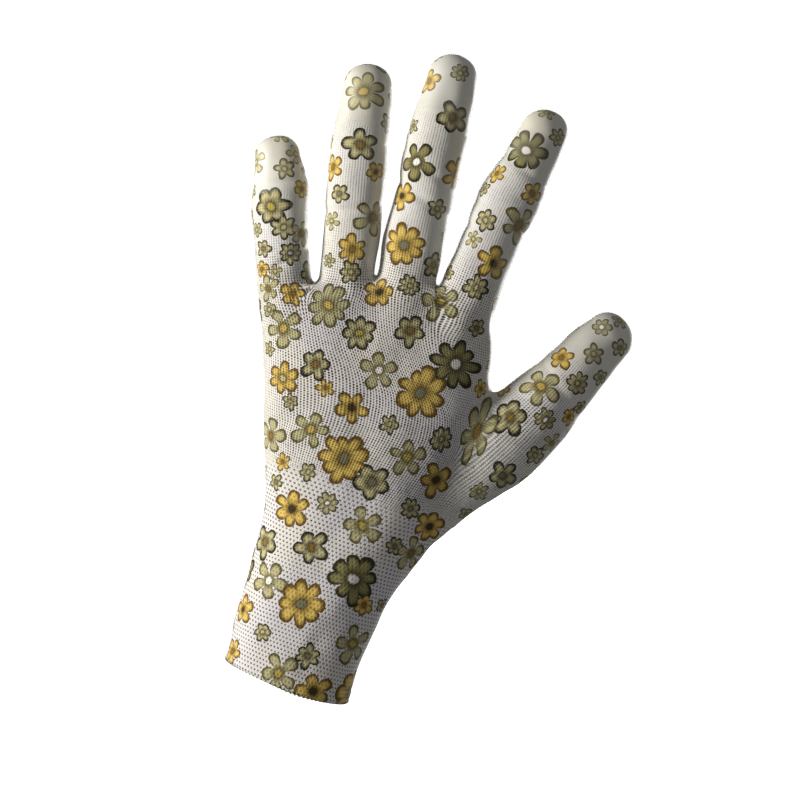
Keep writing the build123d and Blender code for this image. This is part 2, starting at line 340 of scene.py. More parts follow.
def glove_distance(p):
    """Distance to the glove's outer surface, negative inside."""
    rise = p[:, 2] - arch(p[:, 0])
    palm = soft_max(tube_distance(p), rise * 0.92, ARCH_ROUND)
    found = soft_min(palm, stalls["thumb"].distance(p), THUMB_ROUND)
    shell = found
    for name in FINGERS:
        shell = np.minimum(shell, soft_min(found, stalls[name].distance(p), WEB_ROUND))
    hollow = 2.6 * bump(p, -2, 16, 106, 20, 26)
    heel = 1.6 * bump(p, -30, 14, 92, 13, 22)
    knuckles = sum(0.8 * bump(p, *(stalls[n].world(-13.0) + (0, -11, 0)), 7, 8) for n in FINGERS)
    folds = 0.30 * waves(p, LONG_WAVES) + 0.09 * waves(p, SHORT_WAVES)
    groove = 0.16 * np.exp(-((p[:, 2] - HEM_TOP - 0.3) / 0.5) ** 2)
    hem = 0.22 * smoothstep(HEM_TOP + 0.5, HEM_TOP - 0.3, p[:, 2]) - groove
    creases = sum(depth * crease(p, stalls[name], *fold) for name, *fold, depth in CREASES)
    creases = creases * smoothstep(3.0, 0.5, np.abs(shell))
    shell = shell + thumb_fall(p) + hand_folds(p) + hollow - heel - knuckles - folds - hem + creases
    return soft_max(shell, mouth_edge(p) - p[:, 2] + 0.05, 1.6)


def glove_normal(p):
    """Outward normals, from four nearby distances."""
    reach = 0.15
    total = 0
    for corner in ((1, 1, 1), (1, -1, -1), (-1, 1, -1), (-1, -1, 1)):
        corner = np.array(corner, float)
        total = total + corner * glove_distance(p + reach * corner)[:, None]
    return total / np.linalg.norm(total, axis=1)[:, None]


def project(p, rounds):
    for _ in range(rounds):
        p = p - glove_normal(p) * np.clip(glove_distance(p), -STEP, STEP)[:, None]
    return p


def surface_net(values, low):
    """Quads of the surface where values pass through zero on a grid."""
    inside = values < 0
    shape = np.array(values.shape) - 1
    count = np.zeros(shape, np.int8)
    for corner in np.ndindex(2, 2, 2):
        count += inside[tuple(slice(c, c + n) for c, n in zip(corner, shape))]
    active = (count > 0) & (count < 8)
    cells = np.argwhere(active)
    index = np.full(shape, -1)
    index[active] = np.arange(len(cells))
    sums, hits = np.zeros((len(cells), 3)), np.zeros(len(cells))
    for axis in range(3):
        unit = np.eye(3, dtype=int)[axis]
        for corner in np.ndindex(2, 2):
            first = np.insert(np.array(corner), axis, 0)
            v0 = values[tuple((cells + first).T)]
            v1 = values[tuple((cells + first + unit).T)]
            crossed = (v0 < 0) != (v1 < 0)
            part = (v0[crossed] / (v0[crossed] - v1[crossed]))[:, None]
            sums[crossed] += cells[crossed] + first + unit * part
            hits += crossed
    verts = sums / hits[:, None] * STEP + low
    quads = []
    for axis in range(3):
        second, third = (axis + 1) % 3, (axis + 2) % 3
        unit = np.eye(3, dtype=int)
        along = np.arange(shape[axis])
        edges = np.argwhere(np.take(inside, along, axis) != np.take(inside, along + 1, axis))
        edges = edges[(edges[:, second] > 0) & (edges[:, third] > 0)]
        edges = edges[(edges[:, second] < shape[second]) & (edges[:, third] < shape[third])]
        ring = [edges, edges - unit[second], edges - unit[second] - unit[third], edges - unit[third]]
        quad = np.stack([index[tuple(r.T)] for r in ring], 1)
        leaving = inside[tuple(edges.T)]
        quads.append(np.where(leaving[:, None], quad, quad[:, ::-1]))
    return verts, np.concatenate(quads)


GRID_LOW, GRID_HIGH = (-84.0, -24.0, -3.0), (86.0, 30.0, 244.0)
EVENINGS = 6          # how often the mesh is evened out


def glove_mesh():
    """The whole outer surface, evened out and laid back on the true surface."""
    axes = [np.arange(a, b, STEP) for a, b in zip(GRID_LOW, GRID_HIGH)]
    grid = np.stack(np.meshgrid(*axes, indexing="ij"), -1)
    values = np.array([glove_distance(layer.reshape(-1, 3)) for layer in grid]).reshape(grid.shape[:3])
    verts, quads = surface_net(values, GRID_LOW)
    edges = np.concatenate([quads[:, [k, (k + 1) % 4]] for k in range(4)])
    for _ in range(EVENINGS):
        total, hits = np.zeros_like(verts), np.zeros(len(verts))
        for a, b in ((0, 1), (1, 0)):
            np.add.at(total, edges[:, a], verts[edges[:, b]])
            np.add.at(hits, edges[:, a], 1)
        verts = verts * 0.4 + total / hits[:, None] * 0.6
        verts = project(verts, 1)
    return project(verts, 2), quads


def positions(bm):
    bm.verts.ensure_lookup_table()
    return np.array([v.co for v in bm.verts])


def split_where(bm, value, snap=0.12):
    """Cuts the faces where value(positions) passes through zero; a vertex within snap steps counts as zero."""
    values = value(positions(bm))
    values[np.abs(values) < snap * STEP] = 0
    bm.verts.index_update()
    ends = np.array([(e.verts[0].index, e.verts[1].index) for e in bm.edges])
    a, b = values[ends[:, 0]], values[ends[:, 1]]
    bm.edges.ensure_lookup_table()
    crossed = [bm.edges[k] for k in np.nonzero(a * b < 0)[0]]
    zero = {bm.verts[k] for k in np.nonzero(values == 0)[0]}
    sign = {v: values[v.index] for e in crossed for f in e.link_faces for v in f.verts}
    faces = {f for e in crossed for f in e.link_faces}
    for v in zero:
        sign[v] = 0.0
        for f in v.link_faces:
            faces.add(f)
            for w in f.verts:
                sign.setdefault(w, values[w.index])
    for e in crossed:
        first, second = sign[e.verts[0]], sign[e.verts[1]]
        new = bmesh.utils.edge_split(e, e.verts[0], first / (first - second))[1]
        sign[new] = 0.0
    for f in faces:
        on = [v for v in f.verts if sign[v] == 0]
        signs = [sign[v] for v in f.verts]
        if len(on) < 2 or min(signs) >= 0 or max(signs) <= 0:
            continue
        order = list(f.verts)
        pairs = [(p, q) for i, p in enumerate(on) for q in on[i + 1:]
                 if (order.index(p) - order.index(q)) % len(order) not in (1, len(order) - 1)]
        if pairs:
            bmesh.utils.face_split(f, *pairs[0])


def far(value, near):
    """value near a stall's cut, and plainly off it elsewhere."""
    return np.where(near, value, 50.0)


def nearest_stall(p):
    """For each point, which stall it is nearest to and how far along that stall it is."""
    gaps = np.stack([stalls[n].distance(p) for n in STALL_NAMES])
    along = np.stack([stalls[n].local(p)[0] for n in STALL_NAMES])
    pick = gaps.argmin(0)
    return pick, along[pick, np.arange(len(p))], gaps.min(0)


FILM_TILT = math.radians(62)
FILM_FOOT = 72.0


def film_value(p):
    """Positive where the film lies, in millimetres from its edge."""
    x, y, half, deep = hand_local(p)
    wrap = 0.30 + 0.12 * waves(p, LONG_WAVES) * 0.3
    found = (y / deep + wrap) * 12.0
    foot = (p[:, 2] - FILM_FOOT - 0.10 * np.abs(x) - 2.2 * waves(p, LONG_WAVES)) * 0.9
    found = np.minimum(found, foot)
    pick, along, _ = nearest_stall(p)
    for k, name in enumerate(STALL_NAMES):
        stall = stalls[name]
        mine = pick == k
        if not mine.any():
            continue
        t, psi = along[mine], stall.angle(p[mine])
        if name == "thumb":
            own = (np.sin(psi) + 0.52) * 11.0
            start = smoothstep(-14.0, 8.0, t)
        else:
            own = (np.cos(psi - FILM_TILT) + 0.62) * 10.0
            start = smoothstep(-8.0, 10.0, t)
        ripple = 1.2 * waves(p[mine], LONG_WAVES)
        tip = t - (stall.tip - 20.0) + ripple
        own = soft_max(own + 0.4 * ripple, tip, 6.0)
        found[mine] = found[mine] * (1 - start) + own * start
    return found


def cut_mesh(verts, quads):
    """Cuts the surface where pieces and the film end, and drops the closed mouth."""
    bm = bmesh.new()
    made = [bm.verts.new(v) for v in verts]
    for q in quads:
        bm.faces.new([made[k] for k in q])
    for height in (HEM_TOP, RIB_TOP):
        split_where(bm, lambda p: p[:, 2] - height)
    split_where(bm, lambda p: far(tube_distance(p) + LIP, p[:, 2] < MOUTH_ZONE))
    inner = positions(bm)
    gone = (tube_distance(inner) + LIP < 0.15) & (inner[:, 2] < MOUTH_ZONE)
    doomed = [f for f in bm.faces if all(gone[v.index] for v in f.verts)]
    bmesh.ops.delete(bm, geom=doomed, context="FACES")
    for k, name in enumerate(STALL_NAMES):
        stall = stalls[name]
        for cut in stall.cuts:

            def value(p):
                t = stall.local(p)[0] - cut
                return far(t, (np.abs(t) < 4 * STEP) & (nearest_stall(p)[0] == k))

            split_where(bm, value)
    split_where(bm, film_value)
    loose = [v for v in bm.verts if not v.link_faces]
    bmesh.ops.delete(bm, geom=loose, context="VERTS")
    return bm


ON_STALL = 3.0   # a face further than this from its nearest stall is the hand's own


def piece_of(centres):
    """A number for each face: hem, rib, hand, or a length of a stall."""
    pick, along, gap = nearest_stall(centres)
    names = ["hem", "rib", "hand"]
    label = np.where(centres[:, 2] < HEM_TOP, 0, np.where(centres[:, 2] < RIB_TOP, 1, 2))
    for k, stall in enumerate(stalls.values()):
        mine = (pick == k) & (gap < ON_STALL) & (along > stall.cuts[0]) & (centres[:, 2] > 90)
        for part, cut in zip(PARTS[stall.name], stall.cuts):
            names.append(f"{stall.name}_{part}")
            label[mine & (along > cut)] = len(names) - 1
    return names, label


# Knit: how far round in wales and how far along in millimetres, at every corner of every face

CUFF_FADE = (84, 70)  # the heights between which the hand's knit turns into the cuff's
HAND_WALES = 196      # columns of stitches all round the hand
STALL_WALES = {"little": 58, "ring": 60, "middle": 62, "index": 62, "thumb": 70}
OVAL_POWER = 2.3
OVAL_ANGLES = np.linspace(-math.pi, math.pi, 721)
OVAL_ASPECTS = np.linspace(0.15, 1.05, 19)


def oval_shares():
    """Share of the way round an oval, from its left end by the back, for each aspect and angle."""
    c, s = np.cos(OVAL_ANGLES), np.sin(OVAL_ANGLES)
    reach = (np.abs(c) ** OVAL_POWER + np.abs(s) ** OVAL_POWER) ** (-1 / OVAL_POWER)
    rows = []
    for aspect in OVAL_ASPECTS:
        run = np.hypot(np.diff(reach * c), np.diff(reach * s) * aspect)
        rows.append(np.concatenate([[0], np.cumsum(run)]) / run.sum())
    return np.array(rows)


OVAL_SHARES = oval_shares()


def table_place(value, marks):
    """Where a value lies among even marks, short of the last one."""
    return np.clip((value - marks[0]) / (marks[1] - marks[0]), 0, len(marks) - 1.001)


def share_round(angle, aspect):
    """Share of the way round, read between the table's rows and columns."""
    row, column = table_place(aspect, OVAL_ASPECTS), table_place(angle, OVAL_ANGLES)
    r, c = row.astype(int), column.astype(int)
    fr, fc = row - r, column - c
    low = OVAL_SHARES[r, c] * (1 - fc) + OVAL_SHARES[r, c + 1] * fc
    high = OVAL_SHARES[r + 1, c] * (1 - fc) + OVAL_SHARES[r + 1, c + 1] * fc
    return low * (1 - fr) + high * fr


# right edge of the hand for its knit, which spreads over the ball of the thumb
KNIT_RIGHT = [
    (30, 23.6), (45, 25.6), (60, 30.5), (75, 38.0), (90, 49.0), (103, 57.0), (113, 56.0), (124, 42.0),
    (136, 31.5), (150, 27.0), (165, 25.0),
]
knit_right = smooth_curve(KNIT_RIGHT)


def hand_round(p):
    z = p[:, 2]
    left, right, deep = hand_left(z), np.maximum(hand_right(z), knit_right(z)), hand_depth(z)
    x, y, half = p[:, 0] - (left + right) / 2, p[:, 1] - thumb_fall(p) - hand_shift(z), (right - left) / 2
    angle = np.arctan2(y / deep, x / half)
    return angle, HAND_WALES * share_round(angle, deep / half)


def stall_round(stall, p):
    p = p - np.outer(thumb_fall(p), (0, 1, 0))
    t = stall.local(p)[0]
    angle = stall.angle(p)
    return angle, STALL_WALES[stall.name] * share_round(angle, stall.depth_share(t) + 0 * t)


def unwrap(values, angles, centre_angles, wales):
    """Adds whole turns, so that the corners of a face that crosses the seam agree."""
    return values + wales * np.round((centre_angles - angles) / TURN)


def wale_offsets(stall):
    """Whole wales that line a stall's back and palm up with the hand's."""
    wales = STALL_WALES[stall.name]
    if stall.name == "thumb":
        both = round(HAND_WALES / 2 - wales / 2)
        return both, both
    at = stall.world(-12.0)
    back, palm = hand_round(np.array([at + (0, -11, 0), at + (0, 11, 0)]))[1]
    back = round(back - wales / 4)
    palm = round(palm - wales * 3 / 4)
    if stall.name == "little":
        palm = back + HAND_WALES - wales
    if stall.name == "index":
        palm = back
    return back, palm


def stall_weight(stall, p):
    """How far a point's knit belongs to a stall rather than to the hand."""
    t, x, y = stall.local(p)
    if stall.name == "thumb":
        lead = tube_distance(p) - stall.distance(p)
        crotch = smoothstep(0.5, 1.0, -x / stall.half(t))
        return smoothstep(-14 + 9 * crotch, 14 - 10 * crotch, lead)
    aside = np.clip(np.abs(x) / stall.half(t), 0, 1) ** 2
    return smoothstep(-24 + 15 * aside, -5 + aside, t)


def knit_corners(verts, loop_vert, loop_face, centres):
    """The knit attribute: wales round, millimetres along, and -1 on a stall, 0 on the hand, 1 on the cuff."""
    angle, wales = hand_round(verts)
    centre_angle = hand_round(centres)[0]
    u = unwrap(wales[loop_vert], angle[loop_vert], centre_angle[loop_face], HAND_WALES)
    v = verts[loop_vert, 2].copy()
    kind = smoothstep(*CUFF_FADE, v + 2.0 * waves(verts, LONG_WAVES)[loop_vert])
    pick = nearest_stall(centres)[0]
    for k, stall in enumerate(stalls.values()):
        mine = (pick[loop_face] == k) & (v > 60)
        at, face = loop_vert[mine], loop_face[mine]
        angle, wales = stall_round(stall, verts)
        centre_angle = stall_round(stall, centres)[0]
        own = unwrap(wales[at], angle[at], centre_angle[face], STALL_WALES[stall.name])
        back, palm = wale_offsets(stall)
        own += np.where(centre_angle[face] > 0, palm, back)
        t = stall.local(verts[at])[0]
        share = stall_weight(stall, verts[at])
        u[mine] = u[mine] * (1 - share) + own * share
        v[mine] = v[mine] * (1 - share) + (stall.base[2] + t) * share
        kind[mine] -= smoothstep(-6, 20, t)
    return np.stack([u, v, kind], 1)


# where the knit is pulled open, so that its holes carry more painted shade, round the thumb's base and in the
# crotches between the fingers: x, z, how far round, how much
PULLED = [
    (40.0, 92.0, 24.0, 1.0), (-44.0, 138.0, 9.0, 0.8), (-22.0, 146.0, 8.0, 0.8), (3.0, 148.0, 9.0, 0.8),
    (2.0, 112.0, 26.0, 0.35),
]


def knit_stretch(p):
    """How far the knit is pulled open at a point, from 0 to 1."""
    pull = 0
    for x, z, reach, share in PULLED:
        pull = pull + share * np.exp(-((p[:, 0] - x) ** 2 + (p[:, 2] - z) ** 2) / reach ** 2)
    return np.clip(pull, 0, 1)


# The print: daisies at (x, z) as seen from the back, with their radius in millimetres.

# colour of a petal and of its edge, how wide the edge is, radius of the round heart that the petals share,
# and how wide the petals are
PETAL = {
    "gold": ((0.88, 0.76, 0.40), (0.41, 0.29, 0.05), 0.66, 0.50, 1.72),
    "sage": ((0.75, 0.72, 0.55), (0.36, 0.33, 0.17), 0.50, 0.35, 1.54),
    "olive": ((0.57, 0.54, 0.35), (0.15, 0.14, 0.05), 0.62, 0.44, 1.62),
    "dark": ((0.79, 0.75, 0.56), (0.08, 0.072, 0.02), 0.80, 0.60, 1.72),
    "pale": ((0.72, 0.69, 0.52), (0.21, 0.19, 0.08), 0.56, 0.52, 1.66),
}
MORE_PETALS = 0.17    # how much more width the petals share for each one past five
MIDDLE = {
    "white": (0.95, 0.93, 0.90), "yellow": (0.70, 0.63, 0.30), "brown": (0.53, 0.41, 0.18),
    "grey": (0.47, 0.46, 0.36), "black": (0.22, 0.18, 0.08), "orange": (0.78, 0.66, 0.34),
    "light": (0.74, 0.71, 0.54),
}
# (x, z, radius, style, petals, middle)
CUFF_PRINT = [
    (-23, 4, 5, "gold", 5, "brown"), (-15, 14.5, 3.7, "dark", 6, "light"),
    (3.5, 12.5, 4.9, "dark", 6, "grey"), (-4, 2.5, 7.3, "sage", 5, "yellow"),
    (10, 0.5, 7, "gold", 5, "black"), (17.5, 22.5, 7.7, "sage", 5, "yellow"),
    (-24.5, 20, 5.5, "gold", 5, "black"), (-5.5, 29, 9.2, "gold", 8, "grey"),
    (9.5, 45, 9.9, "olive", 8, "white"), (16.5, 36.5, 4.2, "gold", 6, "brown"),
    (23, 39, 3, "dark", 5, "grey"), (-19, 33, 7.3, "sage", 5, "white"), (-25, 46, 6.6, "dark", 5, "brown"),
    (-9, 50, 6.6, "dark", 5, "brown"), (19.5, 61.5, 3.7, "dark", 6, "grey"),
    (6, 64.5, 7.7, "sage", 5, "yellow"), (-20, 61, 7, "gold", 6, "black"),
    (-8.5, 67, 4, "pale", 7, "white"), (26.5, 60, 7, "sage", 5, "brown"),
    (29.5, 72, 6.3, "gold", 6, "black"), (20.5, 76.5, 4.2, "dark", 7, "grey"),
    (40, 81, 3, "dark", 5, "grey"),
]
HAND_PRINT = [
    (-29, 68, 3.3, "dark", 5, "grey"), (-19.5, 75.5, 3.5, "dark", 5, "light"),
    (4.5, 80.5, 7.5, "dark", 5, "grey"), (26, 88.5, 6.6, "gold", 5, "black"),
    (-29, 76.5, 3.3, "gold", 5, "brown"), (-8.5, 85, 9.2, "gold", 9, "grey"),
    (13.5, 93, 7.3, "sage", 5, "yellow"), (22, 103.5, 4.8, "dark", 8, "light"),
    (-36.5, 83.5, 7, "sage", 5, "brown"), (-23.5, 90.5, 7.3, "sage", 5, "orange"),
    (2.5, 102, 3.8, "dark", 5, "light"), (-12, 103.5, 6.4, "gold", 5, "black"),
    (-33.5, 97.5, 3.3, "dark", 6, "light"), (9.5, 117, 9.5, "gold", 8, "grey"),
    (-23.5, 107, 3.5, "gold", 5, "brown"), (29.5, 126, 3.3, "gold", 5, "brown"),
    (-8, 119.5, 7.3, "sage", 5, "white"), (18.5, 131.5, 9.2, "olive", 8, "white"),
    (-40, 105, 6.2, "gold", 6, "light"), (-30, 114, 5.9, "dark", 5, "brown"),
    (-48, 113.5, 3, "dark", 5, "light"), (-19, 130, 6.6, "dark", 7, "yellow"),
    (-2, 136.5, 6.2, "dark", 5, "brown"), (-45, 122.5, 7.3, "sage", 5, "orange"),
    (21, 146.5, 3.7, "dark", 5, "grey"), (-33, 135.5, 8.1, "sage", 8, "orange"),
    (5.5, 150.5, 7.5, "sage", 5, "yellow"), (-53, 127, 3.3, "pale", 5, "light"),
    (-17, 146.5, 6, "gold", 5, "black"), (-47, 135.5, 4.8, "gold", 5, "brown"),
    (-7.5, 152.5, 4.2, "dark", 8, "light"), (34, 111, 8.8, "sage", 6, "brown"),
    (25, 157, 3.7, "gold", 5, "brown"), (15.5, 160, 4.8, "dark", 7, "light"),
    (48.5, 98.5, 5.5, "dark", 5, "grey"), (42, 90, 3.5, "pale", 8, "light"),
]
LITTLE_PRINT = [
    (-56, 134, 5, "sage", 5, "brown"), (-55, 140.5, 3, "pale", 5, "light"),
    (-44, 144, 5, "dark", 5, "grey"), (-60.5, 140, 3.5, "gold", 5, "brown"),
    (-52.5, 148.5, 4.3, "dark", 8, "white"), (-62, 147, 3.6, "dark", 5, "grey"),
    (-51, 157, 5, "sage", 5, "brown"), (-58.5, 156.5, 4.8, "dark", 6, "light"),
    (-67, 153, 3, "pale", 5, "light"), (-65.5, 163, 7.3, "dark", 6, "yellow"),
    (-56.5, 172, 3.7, "gold", 5, "brown"), (-64.5, 177, 4, "dark", 5, "light"),
    (-75.5, 176, 5, "sage", 5, "light"), (-63.5, 183.5, 4, "sage", 5, "light"),
    (-71, 187.5, 4, "sage", 5, "light"),
]
RING_PRINT = [
    (-29.5, 149.5, 4.4, "dark", 6, "light"), (-38.5, 151, 3, "pale", 5, "light"),
    (-31.5, 158, 5.5, "gold", 6, "brown"), (-29, 171.5, 7, "sage", 5, "brown"),
    (-42.5, 165, 3.5, "sage", 5, "light"), (-43.5, 175.5, 3.9, "dark", 5, "grey"),
    (-33.5, 187, 3.9, "gold", 5, "black"), (-49, 184, 5, "gold", 5, "brown"),
    (-42, 194.5, 6.6, "dark", 5, "brown"), (-36, 205.5, 4, "dark", 5, "grey"),
    (-47.5, 213.5, 7.7, "sage", 7, "orange"),
]
MIDDLE_PRINT = [
    (-2, 163, 4.8, "dark", 5, "grey"), (-14, 166, 8, "gold", 8, "grey"), (-7.5, 182, 4, "dark", 5, "light"),
    (-21.5, 182.5, 5.5, "gold", 5, "black"), (-6, 197, 6, "gold", 5, "brown"),
    (-20.5, 196.5, 7.5, "olive", 5, "white"), (-26, 208.5, 3, "dark", 5, "grey"),
    (-14, 215.5, 6.3, "dark", 5, "brown"), (-6.5, 211, 3.5, "dark", 5, "grey"),
    (-26, 225.5, 5, "gold", 5, "brown"), (-17, 232, 3.7, "pale", 7, "light"),
]
INDEX_PRINT = [
    (4.5, 162, 3, "dark", 5, "grey"), (18.5, 170.5, 6.3, "gold", 5, "black"),
    (8.5, 176, 3.5, "sage", 5, "light"), (10.5, 184.5, 4.3, "dark", 6, "light"),
    (22.5, 187, 7, "sage", 5, "brown"), (23, 199.5, 4.5, "gold", 5, "brown"),
    (8.5, 202, 4, "gold", 5, "brown"), (6, 195.5, 3, "dark", 5, "grey"),
    (15, 214, 7.7, "olive", 7, "white"), (25, 222, 3.6, "dark", 6, "light"),
    (18, 229, 3.5, "sage", 5, "light"),
]
THUMB_PRINT = [
    (43.5, 119.5, 7, "dark", 5, "brown"), (56.5, 109.5, 3.9, "dark", 6, "light"),
    (61, 116, 4, "sage", 5, "brown"), (56, 123, 4.4, "pale", 7, "white"),
    (63.5, 127, 3.6, "gold", 5, "brown"), (66.5, 132, 3, "dark", 5, "grey"),
    (49.5, 134.5, 8, "sage", 5, "orange"), (62.5, 140, 4.4, "pale", 8, "light"),
    (69.5, 145, 3.5, "dark", 5, "grey"), (53.5, 146.5, 4.8, "gold", 5, "brown"),
    (64, 152, 4.3, "dark", 5, "light"), (72.5, 157.5, 3.6, "dark", 5, "grey"),
    (63.5, 162.5, 3.9, "pale", 6, "white"), (69, 167, 3.5, "sage", 5, "light"),
]
BACK_PRINT = CUFF_PRINT + HAND_PRINT + LITTLE_PRINT + RING_PRINT + MIDDLE_PRINT + INDEX_PRINT + THUMB_PRINT
# the palm's own daisies, which the other side doesn't show: radius, style, petals, middle and how many tries
PALM_PRINT = [
    (9.4, "gold", 8, "grey", 60), (9.2, "olive", 8, "white", 60), (7.6, "sage", 5, "yellow", 90),
    (7.2, "sage", 5, "white", 90), (6.6, "dark", 5, "brown", 120), (6.4, "gold", 5, "black", 120),
    (5.2, "sage", 5, "orange", 120), (4.8, "dark", 6, "light", 200), (4.2, "gold", 6, "brown", 200),
    (3.8, "dark", 5, "grey", 500), (3.3, "pale", 7, "light", 500), (2.9, "dark", 5, "light", 500),
]
PRINT_GAP = 0.8       # the least room between daisies on the palm, millimetres
NO_PRINT = 9.0        # stands for a place far outside any daisy, in radii
SEEN_FROM = 0.087     # the back was looked at from this slope above
SPREAD = 1.05         # the listed radii reach the petals' usual length, not the longest one
GOLDEN_TURN = 2.399   # radians from one daisy's turn to the next, so that no two lie alike
STRETCHED = (34.0, 111.0, 11.0)   # beside the thumb's crotch the cloth is pulled long: x, z, how far round


class Daisy:
    """One printed flower: its middle on the surface, the tangent plane there, and its turn."""

    def __init__(self, place, normal, radius, style, petals, middle, seed):
        self.place, self.normal, self.radius = place, normal, radius
        self.style, self.petals, self.middle, self.seed = style, petals, middle, seed
        x, z, reach = STRETCHED
        pull = 1.0
        if place[1] < 0:
            pull += 0.45 * math.exp(-(((place[0] - x) ** 2 + (place[2] - z) ** 2) / reach ** 2))
        turn = seed * GOLDEN_TURN
        across = np.cross([0.0, 0.0, 1.0], normal) if abs(normal[2]) < 0.9 else np.array([1.0, 0.0, 0.0])
        across = across - normal * (across @ normal)
        across /= np.linalg.norm(across)
        up = np.cross(normal, across)
        across, up = across * pull, up / pull
        self.across = across * math.cos(turn) + up * math.sin(turn)
        self.up = up * math.cos(turn) - across * math.sin(turn)

    def local(self, p):
        """Places on the flower in radii, with distance kept round the curve of the surface."""
        gap = p - self.place
        flat = np.stack([gap @ self.across, gap @ self.up], 1)
        level = gap - (gap @ self.normal)[:, None] * self.normal
        bend = np.linalg.norm(gap, axis=1) / np.maximum(np.linalg.norm(level, axis=1), 1e-6)
        return flat * (bend / self.radius)[:, None]


def place_daisies(verts, normals):
    """The back's daisies at their listed places, then the palm's in the room that is left."""
    daisies = []

    def add(near, radius, *looks):
        daisies.append(Daisy(verts[near], normals[near], radius, *looks, len(daisies)))

    back = np.nonzero(normals[:, 1] < -0.05)[0]
    seen = np.stack([verts[back, 0], verts[back, 2] + SEEN_FROM * verts[back, 1]], 1)
    for x, z, radius, *looks in BACK_PRINT:
        add(back[((seen - (x, z)) ** 2).sum(1).argmin()], radius * SPREAD, *looks)
    rng = np.random.default_rng(11)
    free = np.nonzero((normals[:, 1] > -0.25) & (verts[:, 2] > 2))[0]
    for radius, *looks, tries in PALM_PRINT:
        for near in rng.choice(free, tries, replace=False):
            gaps = [math.dist(d.place, verts[near]) - (d.radius + radius) * 0.93 for d in daisies]
            if min(gaps) > PRINT_GAP:
                add(near, radius, *looks)
    return daisies


def linear(colour):
    """A colour as it looks on a screen, turned into the renderer's linear light."""
    return tuple(c / 12.92 if c < 0.04045 else ((c + 0.055) / 1.055) ** 2.4 for c in colour) + (1.0,)


def print_layers(daisies, verts, loop_vert, loop_face, centres, face_normals):
    """For every face the two nearest daisies: corner places on each, and each one's colours."""
    gaps = np.full((len(daisies), len(centres)), np.inf)
    for k, daisy in enumerate(daisies):
        near = np.linalg.norm(centres - daisy.place, axis=1) / daisy.radius
        gaps[k] = np.where((face_normals @ daisy.normal > 0.1) & (near < 1.6), near, np.inf)
    order = np.argpartition(gaps, 1, axis=0)[:2]
    swap = np.take_along_axis(gaps, order, 0)
    order = np.where(swap[0] <= swap[1], order, order[::-1])
    looks = {"fill": [], "edge": [], "core": [], "shape": []}
    for daisy in daisies:
        fill, edge, edge_wide, heart, wide = PETAL[daisy.style]
        looks["fill"].append(linear(fill))
        looks["edge"].append(linear(edge))
        looks["core"].append(linear(MIDDLE[daisy.middle]))
        looks["shape"].append((daisy.petals, edge_wide, wide + MORE_PETALS * (daisy.petals - 5), heart))
    corner, flat = {}, {}
    for layer, chosen in zip("ab", order):
        none = ~np.isfinite(gaps[chosen, np.arange(len(centres))])
        place = np.full((len(loop_vert), 3), NO_PRINT)
        own = chosen[loop_face]
        for k, daisy in enumerate(daisies):
            mine = (own == k) & ~none[loop_face]
            place[mine, :2] = daisy.local(verts[loop_vert[mine]])
            place[mine, 2] = daisy.seed
        corner["print_" + layer] = place
        for part, rows in looks.items():
            flat[f"{part}_{layer}"] = np.array(rows)[chosen]
    return corner, flat


# Materials


class Net:
    """Short calls that add nodes to a node tree and join them up."""

    def __init__(self, tree):
        self.tree = tree

    def node(self, kind, links=(), **settings):
        node = self.tree.nodes.new(kind)
        for key, value in settings.items():
            setattr(node, key, value)
        self.fill(node.inputs, links)
        return node

    def fill(self, inputs, links):
        """Joins each named input to a socket, or sets it to a value."""
        for key, value in dict(links).items():
            if isinstance(value, bpy.types.NodeSocket):
                self.tree.links.new(value, inputs[key])
            elif value is not None:
                inputs[key].default_value = value

    def calculate(self, operation, a, b=None, c=None):
        return self.node("ShaderNodeMath", {0: a, 1: b, 2: c}, operation=operation).outputs[0]

    plus = partialmethod(calculate, "ADD")
    minus = partialmethod(calculate, "SUBTRACT")
    times = partialmethod(calculate, "MULTIPLY")
    over = partialmethod(calculate, "DIVIDE")
    scaled = partialmethod(calculate, "MULTIPLY_ADD")
    least = partialmethod(calculate, "MINIMUM")
    most = partialmethod(calculate, "MAXIMUM")
    modulo = partialmethod(calculate, "FLOORED_MODULO")
    arctan = partialmethod(calculate, "ARCTAN2")
    floor = partialmethod(calculate, "FLOOR")
    size = partialmethod(calculate, "ABSOLUTE")
    sine = partialmethod(calculate, "SINE")
    cosine = partialmethod(calculate, "COSINE")

    def length(self, x, y):
        return self.calculate("SQRT", self.plus(self.times(x, x), self.times(y, y)))

    def nudge(self, value, chance, reach):
        """Moves a value by a share of reach, where chance is from 0 to 1."""
        return self.scaled(self.minus(chance, 0.5), reach, value)

    def step(self, value, low, high, bottom=0.0, top=1.0):
        """A smooth rise from bottom to top as value goes from low to high."""
        links = {"Value": value, "From Min": low, "From Max": high, "To Min": bottom, "To Max": top}
        return self.node("ShaderNodeMapRange", links, interpolation_type="SMOOTHSTEP").outputs[0]

    def mix(self, share, a, b):
        """Between two colours."""
        return self.node("ShaderNodeMix", {0: share, 6: a, 7: b}, data_type="RGBA").outputs[2]

    def between(self, share, a, b):
        """Between two numbers."""
        return self.node("ShaderNodeMix", {0: share, 2: a, 3: b}, data_type="FLOAT").outputs[0]

    def split(self, vector):
        return self.node("ShaderNodeSeparateXYZ", {0: vector}).outputs

    def chance(self, x, y, z, output="Value"):
        """A random number or colour that is the same wherever x, y and z are."""
        place = self.node("ShaderNodeCombineXYZ", {0: x, 1: y, 2: z}).outputs[0]
        return self.node("ShaderNodeTexWhiteNoise", {0: place}).outputs[output]

    def noise(self, vector, scale, detail=2.0, output="Fac"):
        links = {"Vector": vector, "Scale": scale, "Detail": detail}
        return self.node("ShaderNodeTexNoise", links).outputs[output]

    def attribute(self, name, output="Vector"):
        return self.node("ShaderNodeAttribute", attribute_name=name).outputs[output]


